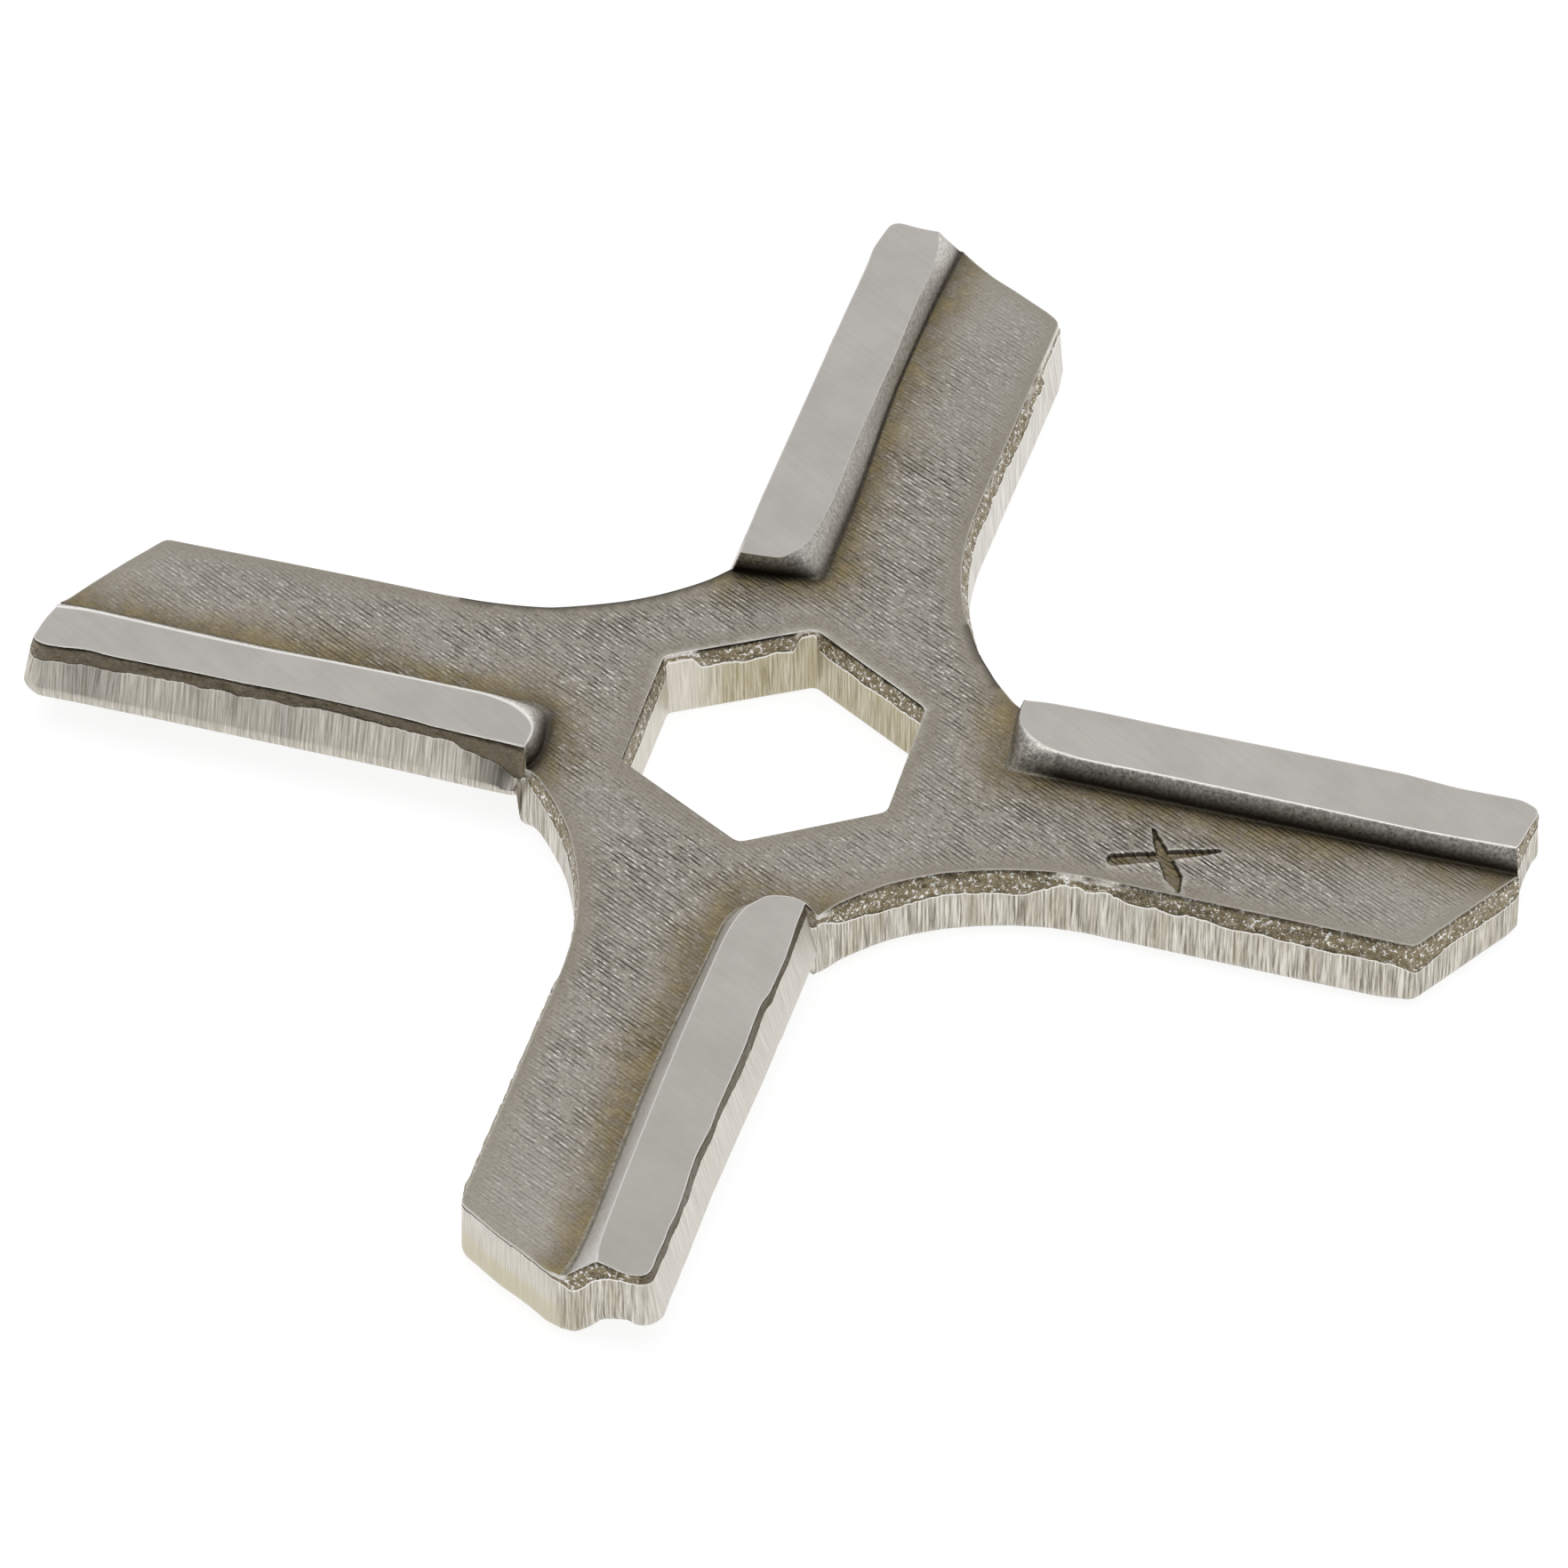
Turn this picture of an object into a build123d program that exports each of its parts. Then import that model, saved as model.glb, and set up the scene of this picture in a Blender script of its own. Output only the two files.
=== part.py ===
from build123d import *
import os
from math import cos, radians, sin, sqrt, tan

# Four-armed knife of a small household meat grinder, punched from one steel plate.
# Z = 0 is the underside it lies on, and the Z axis is the axis of its drive hole.
# An arm is described by u, outward along it, and v, across it towards its cutting side.
# The first arm runs along +X, and seen from above each arm cuts counter-clockwise.

# Blank (mm)
arm_count = 4
plate_thickness = 2.7
burnish_height = 1.6        # the punched wall stands upright to here and leans in above
lower_roll_radius = 0.6     # rounding left by the punch along the lower edges

# Arm (mm, degrees)
arm_length = 24.85          # from the axis to the outer end
trailing_offset = 3.37      # from the arm's centre line to its trailing edge, at the top
trailing_lean = 0.3         # how much wider the trailing side is at the bottom
end_angle = 31.0            # slant of the wing's outer end
wing_corner_radius = 0.4    # at the top of the plate
wing_corner_radius_low = 0.75
outer_corner_radius = 0.75

# Hollow between two arms (mm)
hollow_centre_u = 11.4      # where the hollow's arc meets the trailing edge
hollow_radius = 9.9

# Raised rib with the cutting edge (mm)
rib_raise = 0.8             # height of the ground rib top above the plate
rib_start = 7.4             # from the axis to the rib's inner end
rib_start_slant = 0.3       # how much further out the inner end's back corner lies
cutting_offset = 3.43       # from the centre line to the cutting edge
cutting_lean = 0.52         # how much wider the cutting face is at the bottom
rib_back_offset = 1.4       # from the centre line to the rib's back edge, at the top
rib_back_slope = 0.55       # how much further back the slope reaches at the plate
rib_inner_radius = 1.2      # rounding of the rib's top at its inner end
rib_foot_radius = 0.08

# Sunken band under the rib (mm)
band_back_offset = 1.0      # from the centre line to the band's back edge, at the underside
band_back_slope = 1.0       # width of the slope up to the band's roof
band_back_depth = 0.85      # depth of the band at the top of that slope
band_front_depth = 1.35     # depth of the band at the cutting face
band_roll_radius = 0.5      # rounding along the lower edge of the cutting face

# Drive hole (mm, degrees)
hex_across_flats = 9.0
hex_turn = 1.0              # turn of the hexagon against the arms
hex_corner_radius = 0.25

# Crossed strokes struck into the first wing (mm, degrees)
mark_u = 13.7
mark_v = -1.65
mark_depth = 0.15
long_stroke_length = 3.6
long_stroke_width = 0.42
long_stroke_angle = 23.0
short_stroke_length = 2.8
short_stroke_width = 0.5
short_stroke_angle = -62.0

# Worked out from the above
total_height = plate_thickness + rib_raise
arm_step = 360.0 / arm_count
cutting_slope = cutting_lean / (total_height - burnish_height)
cutting_offset_at_plate = cutting_offset + cutting_slope * rib_raise
cutting_offset_low = cutting_offset + cutting_lean
trailing_offset_low = trailing_offset + trailing_lean
hollow_centre_v = -trailing_offset - hollow_radius
rib_foot_offset = rib_back_offset - rib_back_slope
cut_through = 2 * total_height
band_edge_offset = cutting_offset_low - band_roll_radius
band_edge_height = band_front_depth + band_roll_radius


def on_arm(arm, u, v):
    """A point on an arm, in the knife's own X and Y."""
    turn = radians(arm * arm_step)
    return (u * cos(turn) - v * sin(turn), u * sin(turn) + v * cos(turn))


def hollow_end(trailing_side):
    """How far from the next arm's centre line the hollow's arc meets its inner end."""
    turn = radians(arm_step)
    radius = -hollow_centre_v - trailing_side
    centre_u = hollow_centre_u * cos(turn) - hollow_centre_v * sin(turn)
    centre_v = hollow_centre_u * sin(turn) + hollow_centre_v * cos(turn)
    return centre_v - sqrt(radius**2 - (rib_start - centre_u) ** 2)


# Sections of the punched plate: height, cutting side, trailing side, wing corner rounding.
lower_sides = (cutting_offset_low, trailing_offset_low, wing_corner_radius_low)
upper_sides = (cutting_offset_at_plate, trailing_offset, wing_corner_radius)
blank_sections = (
    (0, *lower_sides),
    (burnish_height, *lower_sides),
    (plate_thickness, *upper_sides),
)

# Sections of a rib: height, cutting side, back side, where the back starts, its rounding.
rib_sections = (
    (
        plate_thickness,
        cutting_offset_at_plate,
        rib_foot_offset,
        rib_start + rib_start_slant,
        rib_foot_radius,
    ),
    (total_height, cutting_offset, rib_back_offset, rib_start, rib_inner_radius),
)

# The rib stands on the plate: its top is ground flat, its back slopes down to the wing.
with BuildPart() as rib:
    for height, cutting_side, back_side, back_start, back_radius in rib_sections:
        with BuildSketch(Plane.XY.offset(height)):
            with BuildLine():
                FilletPolyline(
                    (rib_start, cutting_side),
                    (arm_length, cutting_side),
                    (arm_length, back_side),
                    (back_start, back_side),
                    radius=[0, outer_corner_radius, rib_foot_radius, back_radius],
                    close=True,
                )
            make_face()
    loft(ruled=True)

# The rib was pushed up out of the plate, so the underside is sunken beneath it, and the
# lower edge of the cutting face is rounded like every other punched edge.
with BuildPart() as band:
    with BuildSketch(Plane.YZ.offset(rib_start)):
        with BuildLine():
            Polyline(
                (cutting_offset_low, band_edge_height),
                (2 * cutting_offset_low, band_edge_height),
                (2 * cutting_offset_low, -total_height),
                (band_back_offset, -total_height),
                (band_back_offset, 0),
                (band_back_offset + band_back_slope, band_back_depth),
                (band_edge_offset, band_front_depth),
            )
            RadiusArc(
                (band_edge_offset, band_front_depth),
                (cutting_offset_low, band_edge_height),
                band_roll_radius,
            )
        make_face()
    extrude(amount=2 * arm_length)

with BuildPart() as knife:
    # Punched plate: upright, burnished wall below, broken and leaning wall above.
    for height, cutting_side, trailing_side, wing_radius in blank_sections:
        wing_run = (rib_foot_offset + trailing_side) * tan(radians(end_angle))
        with BuildSketch(Plane.XY.offset(height)):
            with BuildLine():
                for arm in range(arm_count):
                    hollow_start = on_arm(arm, hollow_centre_u, -trailing_side)
                    hollow_finish = on_arm(arm - 1, rib_start, hollow_end(trailing_side))
                    FilletPolyline(
                        on_arm(arm, rib_start, cutting_side),
                        on_arm(arm, arm_length, cutting_side),
                        on_arm(arm, arm_length, rib_foot_offset),
                        on_arm(arm, arm_length - wing_run, -trailing_side),
                        hollow_start,
                        radius=[outer_corner_radius, wing_radius, wing_radius],
                    )
                    TangentArc(hollow_start, hollow_finish, tangent=on_arm(arm, -1, 0))
                    Line(hollow_finish, on_arm(arm - 1, rib_start, cutting_side))
            make_face()
        if height == 0:
            extrude(amount=burnish_height)
            fillet(knife.edges().group_by(Axis.Z)[0], lower_roll_radius)
    loft(ruled=True)

    with PolarLocations(0, arm_count):
        add(rib.part)
        add(band.part, mode=Mode.SUBTRACT)

    # Drive hole, a hexagon with a corner near the second arm.
    with BuildSketch():
        RegularPolygon(hex_across_flats / 2, 6, major_radius=False, rotation=30 + hex_turn)
        fillet(vertices(), hex_corner_radius)
    extrude(amount=cut_through, mode=Mode.SUBTRACT)

    # Two plain crossed strokes on the first wing.
    with BuildSketch(Plane.XY.offset(plate_thickness)):
        with Locations((mark_u, mark_v)):
            SlotOverall(long_stroke_length, long_stroke_width, rotation=long_stroke_angle)
            SlotOverall(short_stroke_length, short_stroke_width, rotation=short_stroke_angle)
    extrude(amount=-mark_depth, mode=Mode.SUBTRACT)

knife.part.label = "knife"

os.makedirs("parts", exist_ok=True)
export_step(knife.part, "parts/knife.step")
print("volume", round(knife.part.volume, 2), "mm3, valid", knife.part.is_valid)
print("size", knife.part.bounding_box().size)
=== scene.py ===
"""Four-armed meat grinder knife of punched and ground steel, lying on a pale floor."""

from math import ceil, cos, exp, hypot, pi, radians, sin
from types import SimpleNamespace

import bmesh
import bpy
import numpy as np
from mathutils import Matrix, Vector, noise
from mathutils.geometry import delaunay_2d_cdt
from mathutils.kdtree import KDTree


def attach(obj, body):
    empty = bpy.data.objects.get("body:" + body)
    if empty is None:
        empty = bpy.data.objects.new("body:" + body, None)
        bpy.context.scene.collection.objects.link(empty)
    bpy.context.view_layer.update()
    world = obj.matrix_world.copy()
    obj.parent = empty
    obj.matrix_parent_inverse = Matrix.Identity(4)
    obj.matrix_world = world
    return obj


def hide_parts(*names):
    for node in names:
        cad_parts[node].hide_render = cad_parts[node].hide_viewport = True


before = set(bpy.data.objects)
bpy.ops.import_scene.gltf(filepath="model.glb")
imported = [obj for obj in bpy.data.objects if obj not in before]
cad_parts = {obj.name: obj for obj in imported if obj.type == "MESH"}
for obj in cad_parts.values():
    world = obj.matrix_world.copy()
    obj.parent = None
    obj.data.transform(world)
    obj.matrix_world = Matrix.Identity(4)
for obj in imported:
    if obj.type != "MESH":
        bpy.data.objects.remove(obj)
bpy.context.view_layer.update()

# ---- sizes, in millimetres
MM = 0.001
PLATE_TOP = 2.7
RIB_TOP = 3.5
RIB_RAISE = RIB_TOP - PLATE_TOP
ROLL = 0.6                  # rounding of the lower edges
BAND_ROLL = 0.45            # the same under the cutting face
HEX_ROLL = 0.25             # the same in the drive hole
BAND_START = 7.36           # where the sunken band under a rib begins, along the arm
BAND_DEPTH = [(0.95, 0), (1.05, 0.05), (1.95, 0.8), (2.1, 0.88), (3.5, 1.35), (5, 1.35)]
BAND_CREASES = [v for v, _ in BAND_DEPTH[:4]]
BAND_ENDS = (7.35, 7.42, 7.49)              # creases at its inner end, along the arm
HOLLOW_END = 12             # where along the arm the hollow ends
END_START = 22              # where along the arm the wing's outer end begins
TIP_START, TIP_SIDE = 24, 3.2               # corner between outer end and cutting face
TRAILING_FOOT = 0.3         # how far the wall's foot stands out along the trailing edge
BARE_HEIGHT = 2.58          # the torn zone's lower border where it is bare
SHARP_ANGLE = 38            # degrees between faces that meet in a sharp edge
STROKE_DEPTH = 0.15         # of the crossed strokes
# The edge line carries wear, a painted highlight or a painted shade line.
EDGE_LINE = 0.055           # width of the worn line along every upper edge

# Spacing of the mesh's points
COLUMN_STEP = 0.13          # along the outer wall
HEX_STEP = 0.11             # along the drive hole
SLOPE_STEP = 0.15           # along the ribs' slopes
PLATE_STEP = 0.27
RIB_STEP = 0.35
UNDER_STEP = 0.4
CREASE_STEP = 0.15
CREASE_CLEARANCE = 0.16     # between a crease and the other points of its face
STROKE_STEP = 0.032         # beside the struck strokes
RIM_CLEARANCE = 0.11        # between a flat face's rim and its inner points

# Each arm lies along u, and v runs across it towards its cutting side. The points follow
# the real knife's edges, which were punched and ground a little differently on each arm.
# They were read off the photograph, in millimetres through its camera.
#   hollow       the arc between the arm before and this one, then the trailing edge
#   end          the wing's slanting outer end
#   ridge        the rib's upper back edge and its foot, from the inner end outwards
#   tip, edge    the rib's outer end, and the cutting edge from there inwards
#   low_edge     v of the wall's foot below the cutting edge, by u
#   low_end      u of the wall's foot below the outer end
#   corner       part of the foot's reach that is left at the outer corner, by u
#   ..._foot     how far the wall's foot stands out elsewhere
#   ..._break    height of the torn zone's lower border, at the rib's outer end by v and
#                along the cutting face by u; break_line is the same along the wing
#   straight     1 where the rib's slope is straight, 0 where it is rounded
#   shade        painted shade low on the slope, by part of the rib's length
#   foot_dirt painted shade in the crease at the slope's foot
#   ..._highlight painted highlight on the rib's back edge and on its slope
#   ..._polish   brightness of the burnished zone
#   bare_end     1 where the torn zone is only a thin line along the outer end
#   dark_edge    the part of the hollow's upper edge that gets a painted shade line, by u
PLAIN_ARM = dict(
    corner=[(24, 1)], tip_break=[(0.8, 1.9), (2.4, 2.9), (3.4, 3)],
    face_break=[(7.4, 2.9), (9, 3.1), (14, 3.05), (20, 3.08), (25, 3)],
    tip_foot=0.12, hollow_foot=0.27, end_foot=0.2, step_foot=0.33, straight=0, foot_dirt=0.5,
    wing_polish=0, face_polish=0.1, bare_end=0, dark_edge=(0, 0),
)
RIGHT_ARM = dict(
    PLAIN_ARM, turn=0,
    hollow=[(3.96, -7.04), (4.15, -6.69), (4.6, -6.18), (5.05, -5.71), (5.52, -5.28),
            (6.25, -4.78), (7.03, -4.32), (8.1, -3.86), (9.19, -3.51), (10.31, -3.27),
            (11.4, -3.17), (12.66, -3.14), (15, -3.15), (18, -3.16), (21.4, -3.17),
            (22.45, -3.16)],
    end=[(22.85, -2.5), (23.65, -1.16), (24.45, 0.18)],
    ridge=[(7.62, 3.31, 7.37, 3.66), (7.62, 2.88, 7.43, 2.94), (7.68, 2.46, 7.5, 2.45),
           (7.8, 2.2, 7.56, 2.05), (8, 1.97, 7.62, 1.7), (8.22, 1.79, 7.68, 1.35),
           (8.53, 1.59, 7.8, 0.92), (8.98, 1.38, 8.3, 0.85), (9.61, 1.27, 9.3, 0.85),
           (10.4, 1.2, 10.3, 0.85), (13.2, 1.23, 13.2, 0.84), (18, 1.21, 18, 0.86),
           (21.56, 1.17, 21.56, 0.86), (24.66, 1.3, 24.84, 0.9)],
    tip=[(24.74, 1.5), (24.8, 2.02), (24.9, 2.6), (25, 2.94), (24.9, 3.22)],
    edge=[(24.3, 3.46), (23.2, 3.43), (22.2, 3.4), (21.4, 3.46), (20.4, 3.54), (18, 3.52),
          (15, 3.49), (12.6, 3.46), (10.2, 3.48), (8.4, 3.42)],
    low_edge=[(7, 3.97), (25, 3.97)],
    corner=[(23.9, 1), (24.4, 0.4)],
    shade=[(0, 0), (0.13, 0.1), (0.2, 0.95), (1, 0.95)],
    break_line=[(3.6, 2.44), (4.4, 1.96), (5.6, 1.76), (7.1, 1.9), (9.4, 1.77), (10.8, 2.23),
                (12.8, 2.13), (15.2, 2.09), (19.3, 1.87), (21.7, 1.96), (22.5, 1.57), (23.3, 1.88),
                (24.6, 1.75)],
    low_end=24.75, tip_foot=0.03, end_foot=0.17, edge_shine=0.35, slope_shine=0,
)
UPPER_ARM = dict(
    PLAIN_ARM, turn=1,
    hollow=[(3.88, -7.07), (4.25, -6.69), (4.68, -6.23), (5.28, -5.75), (5.78, -5.33),
            (6.38, -4.98), (7.05, -4.6), (7.52, -4.34), (8.12, -4.1), (8.72, -3.87), (9.56, -3.64),
            (10.4, -3.48), (11.29, -3.39), (12.19, -3.34), (14.7, -3.36), (18, -3.4),
            (21.4, -3.44), (22.3, -3.43)],
    end=[(22.65, -2.96), (23.05, -2.22), (23.47, -1.45), (23.83, -0.72), (24.34, 0.07)],
    ridge=[(7.38, 3.4, 7.31, 3.68), (7.44, 2.6, 7.38, 2.75), (7.52, 2.02, 7.47, 2),
           (7.8, 1.78, 7.57, 1.3), (8.12, 1.54, 7.68, 0.8), (8.46, 1.41, 8.12, 0.69),
           (8.95, 1.3, 8.8, 0.67), (9.8, 1.21, 9.84, 0.68), (11.2, 1.18, 11.75, 0.7),
           (13.66, 1.26, 14.1, 0.82), (16.4, 1.25, 16.44, 0.93), (18.4, 1.24, 18.4, 0.97),
           (20.78, 1.29, 20.8, 0.96), (22.65, 1.27, 22.5, 0.92), (24, 1.38, 24, 0.86),
           (24.76, 1.6, 24.86, 0.86)],
    tip=[(24.75, 2.11), (24.76, 2.44), (24.84, 3), (24.7, 3.3)],
    edge=[(24.2, 3.39), (23.3, 3.53), (22.3, 3.47), (20.4, 3.5), (18, 3.51), (14, 3.51),
          (10, 3.51), (8.34, 3.48)],
    low_edge=[(7, 4.03), (25, 4.03)],
    shade=[(0, 0.95), (0.09, 0.95), (0.14, 0.6), (0.3, 0.5), (0.45, 0.1), (0.7, 0.1), (0.85, 0.5),
           (1, 0.5)],
    break_line=[(3.6, 2.2), (6, 1.9), (9, 2), (11.9, 2.18), (14.7, 2.12), (18, 2.09), (21.6, 2.39),
                (23, 2)],
    low_end=24.95, straight=1, foot_dirt=0.85, edge_shine=0.12, slope_shine=0.5, wing_polish=0.35,
    dark_edge=(4.4, 7),
)
LEFT_ARM = dict(
    PLAIN_ARM, turn=2,
    hollow=[(3.81, -7.19), (4.21, -6.67), (4.69, -6.21), (5.18, -5.8), (5.68, -5.42), (6.2, -5.08),
            (6.72, -4.78), (7.25, -4.52), (7.8, -4.27), (8.34, -4.04), (8.9, -3.83), (9.48, -3.7),
            (10.07, -3.6), (10.66, -3.52), (11.27, -3.46), (12.6, -3.4), (15, -3.4), (18, -3.37),
            (21.4, -3.31), (22.3, -3.3)],
    end=[(22.53, -2.91), (23.23, -1.8), (24, -0.44), (24.45, 0.42)],
    ridge=[(7.42, 3.43, 7.33, 3.62), (7.4, 3.04, 7.12, 3.2), (7.41, 2.65, 7.08, 2.55),
           (7.52, 2.38, 7.15, 2), (7.7, 2.18, 7.26, 1.5), (7.95, 1.98, 7.42, 1),
           (8.45, 1.71, 8, 0.76), (9.28, 1.52, 9.1, 0.74), (10.06, 1.49, 10, 0.75),
           (12.37, 1.48, 12.4, 0.76), (14.67, 1.51, 14.67, 0.76), (16.97, 1.58, 16.97, 0.76),
           (19.31, 1.57, 19.31, 0.74), (21.66, 1.52, 21.66, 0.71), (23.24, 1.5, 23.3, 0.68),
           (24.35, 1.62, 24.58, 0.72)],
    tip=[(24.51, 2.29), (24.55, 2.87), (24.6, 3.24)],
    edge=[(24.1, 3.4), (23.49, 3.35), (23.06, 3.27), (22.61, 3.22), (21.8, 3.29), (20.26, 3.27),
          (18.71, 3.24), (17.16, 3.25), (15.64, 3.2), (13.31, 3.24), (11.75, 3.3), (11.13, 3.33),
          (10.64, 3.4), (9.41, 3.42), (7.89, 3.42)],
    low_edge=[(7, 3.95), (9, 3.93), (12, 3.86), (20, 3.87), (24, 3.92)],
    shade=[(0, 0.95), (0.08, 0.85), (0.15, 0.25), (1, 0.1)],
    break_line=[(3.6, 2.1), (6, 1.8), (9, 1.9), (12, 2.1), (18, 2.1), (23, 1.9)],
    face_break=[(7.4, 1.8), (7.7, 1.95), (7.9, 2.2), (8.3, 2.5), (9.3, 2.78), (9.9, 3.14),
                (12, 3.11), (14.3, 3.09), (15.4, 3.02), (16.3, 3.09), (17.3, 2.98), (17.9, 3.07),
                (18.7, 2.91), (19.4, 3), (20.7, 2.99), (22.5, 2.88), (23.9, 2.77)],
    low_end=24.85, step_foot=0.18, edge_shine=1, slope_shine=0.2, dark_edge=(0, 12),
)
LOWER_ARM = dict(
    PLAIN_ARM, turn=3,
    hollow=[(3.71, -7.14), (3.95, -6.79), (4.42, -6.33), (4.75, -6.04), (5.17, -5.7), (5.6, -5.35),
            (6.14, -5), (6.7, -4.71), (7.25, -4.44), (7.82, -4.21), (8.38, -3.99), (8.96, -3.82),
            (9.54, -3.67), (10.13, -3.57), (10.72, -3.48), (11.5, -3.41), (12.76, -3.36),
            (15, -3.35), (18, -3.33), (21.6, -3.3), (22.5, -3.3)],
    end=[(22.75, -2.86), (23.1, -2.31), (23.46, -1.72), (23.76, -1.08), (24.13, -0.4),
         (24.45, 0.1)],
    ridge=[(7.65, 3.43, 7.33, 3.75), (7.56, 3.2, 7.37, 3.3), (7.52, 2.88, 7.42, 2.85),
           (7.62, 2.35, 7.5, 2.2), (7.76, 2.09, 7.56, 1.75), (8.07, 1.89, 7.66, 1.35),
           (8.34, 1.68, 7.95, 1.16), (8.8, 1.54, 8.5, 0.98), (9.36, 1.45, 9.2, 0.94),
           (10.42, 1.38, 10.4, 0.92), (14.51, 1.38, 14.6, 0.78), (18.1, 1.43, 18.1, 0.8),
           (21.89, 1.53, 21.9, 0.9), (23.6, 1.62, 23.7, 0.86), (24.32, 1.78, 24.5, 0.74)],
    tip=[(24.37, 2), (24.44, 2.3), (24.58, 2.68), (24.56, 3.2)],
    edge=[(24.4, 3.46), (24, 3.51), (23.64, 3.47), (22.86, 3.51), (22.37, 3.47), (21.8, 3.53),
          (20.72, 3.48), (19.96, 3.41), (19.18, 3.37), (18.58, 3.41), (17.89, 3.46), (17.19, 3.42),
          (14.29, 3.45), (13.17, 3.4), (12.2, 3.39), (11.9, 3.51), (10.26, 3.54), (9.45, 3.5),
          (8.64, 3.44)],
    low_edge=[(7, 3.96), (14, 3.95), (16, 3.9), (19, 3.85), (22, 3.9), (25, 3.92)],
    shade=[(0, 0.15), (1, 0.05)],
    break_line=[(3.6, 2.2), (4.6, 1.9), (7, 1.8), (9, 1.9), (12, 2.1), (18, 2.1), (22, 2.1),
                (22.7, 2.38), (24.3, 2.38), (24.5, 2.2)],
    tip_break=[(0.46, 2.26), (0.97, 2.1), (1.33, 2.33), (1.57, 2.74), (2.15, 3.13), (2.73, 3.2)],
    face_break=[(7.4, 3.2), (9.1, 3.25), (11.1, 3.27), (11.7, 3.19), (12.65, 3.08), (13.5, 3.01),
                (14.5, 3.06), (15.6, 3.01), (16.4, 3.11), (17.5, 3.2), (18.4, 3.12), (19.9, 3.07),
                (20.6, 3), (21.2, 3.13), (22.7, 3.12), (23.6, 3.08)],
    low_end=24.65, tip_foot=0.05, hollow_foot=0.15, end_foot=0.06, step_foot=0.18, straight=0.7,
    foot_dirt=0.15, edge_shine=0.6, slope_shine=1, face_polish=0.3, bare_end=1,
)
ARMS = (RIGHT_ARM, UPPER_ARM, LEFT_ARM, LOWER_ARM)

# The drive hole's corners, and the height of its torn zone's border by part of the way round.
HEX_CORNERS = [(4.4, 2.82), (-0.16, 5.37), (-4.61, 2.72), (-4.5, -2.36), (0.3, -4.9),
               (4.54, -2.19)]
HEX_BREAK = [(0, 2), (0.1, 1.9), (0.16, 2), (0.168, 2.5), (0.184, 2.45), (0.195, 2),
             (0.295, 2), (0.305, 2.4), (0.335, 2.4), (0.345, 1.9), (0.5, 1.6), (0.62, 1.5),
             (0.7, 1.3), (0.78, 1.8), (0.83, 2.0), (0.9, 1.95), (1, 2.0)]

# Two plain crossed strokes struck into the first arm: ends and half widths of their runs.
STROKES = [((12.2, -2.17), 0.25, (13.67, -1.54), 0.2),
           ((13.67, -1.54), 0.23, (15.35, -0.83), 0.06),
           ((13.67, -1.54), 0.22, (13.05, -0.5), 0.05),
           ((13.67, -1.54), 0.2, (14.2, -2.35), 0.28),
           ((14.2, -2.35), 0.28, (14.55, -2.95), 0.06)]
STROKES_LOW, STROKES_HIGH = (11.7, -3.4), (15.7, -0.2)  # corners of the area round them


# ---- small helpers
def on_arm(arm, u, v):
    """A point on an arm, in the knife's own X and Y."""
    c, s = ((1, 0), (0, 1), (-1, 0), (0, -1))[arm["turn"]]
    return (u * c - v * s, u * s + v * c)


def to_arm(turn, x, y):
    """How far out along an arm and across it a point lies."""
    c, s = ((1, 0), (0, 1), (-1, 0), (0, -1))[turn]
    return (x * c + y * s, -x * s + y * c)


def ramp(value, low, high):
    """0 below low, 1 above high, smooth between."""
    t = min(1.0, max(0.0, (value - low) / (high - low)))
    return t * t * (3 - 2 * t)


def table(points, at):
    """A value read between the points of a short list."""
    xs, ys = zip(*points)
    return float(np.interp(at, xs, ys))


def run_length(points):
    """Distance of each point along its line."""
    return np.concatenate([[0], np.cumsum(np.hypot(*np.diff(points, axis=0).T[:2]))])


def even_steps(points, step):
    """The same line with its points at about equal steps."""
    points = np.array(points, float)
    length = run_length(points)
    at = np.linspace(0, length[-1], max(2, ceil(length[-1] / step)) + 1)
    return np.stack([np.interp(at, length, column) for column in points.T], axis=1)


def soften(points, reach, passes=2):
    """Rounds a line's corners; its ends stay."""
    points = np.array(points, float)
    for _ in range(passes):
        padded = np.concatenate([2 * points[0] - points[reach:0:-1], points,
                                 2 * points[-1] - points[-2:-reach - 2:-1]])
        kernel = np.ones(2 * reach + 1) / (2 * reach + 1)
        points = np.stack([np.convolve(c, kernel, "valid") for c in padded.T], axis=1)
    return points


def rough(x, y, z, size, detail=4):
    """Soft random value, about -1 to 1, with features of that size in millimetres."""
    return noise.fractal(Vector((x, y, z)) / size, 1.0, 2.0, detail)


# ---- the growing mesh
# Marks tell the materials about each point. The second mark carries painted highlights and the
# burnished zone's polish, the third painted shade; run is the distance along a wall.
MARKS = ("stain", "shine", "soot", "worn", "run")
PLATE, RIB, SLOPE, TORN, BURNISH, UNDER = range(6)         # the materials' slots
points = []                 # x, y, z in millimetres
marks = []
faces = []
face_slots = []


def add_point(x, y, z, stain=0.0, shine=0.0, soot=0.0, worn=0.0, run=0.0):
    """Adds a point and gives its number."""
    points.append((float(x), float(y), float(z)))
    marks.append((stain, shine, soot, worn, run))
    return len(points) - 1


def add_face(corners, slot):
    """Adds a face, without the corners that it names twice."""
    distinct = []
    for corner in corners:
        if corner not in distinct:
            distinct.append(corner)
    if len(distinct) > 2:
        faces.append(distinct)
        face_slots.append(slot)


def inside(loop, x, y):
    """Which of the points lie inside a closed line."""
    x0, y0 = loop.T
    x1, y1 = np.roll(loop, -1, axis=0).T
    hit = np.zeros(len(x), bool)
    for a, b, c, d in zip(x0, y0, x1, y1):
        if b != d:
            crosses = (y >= min(b, d)) & (y < max(b, d))
            hit ^= crosses & (x < a + (y - b) * (c - a) / (d - b))
    return hit


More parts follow.
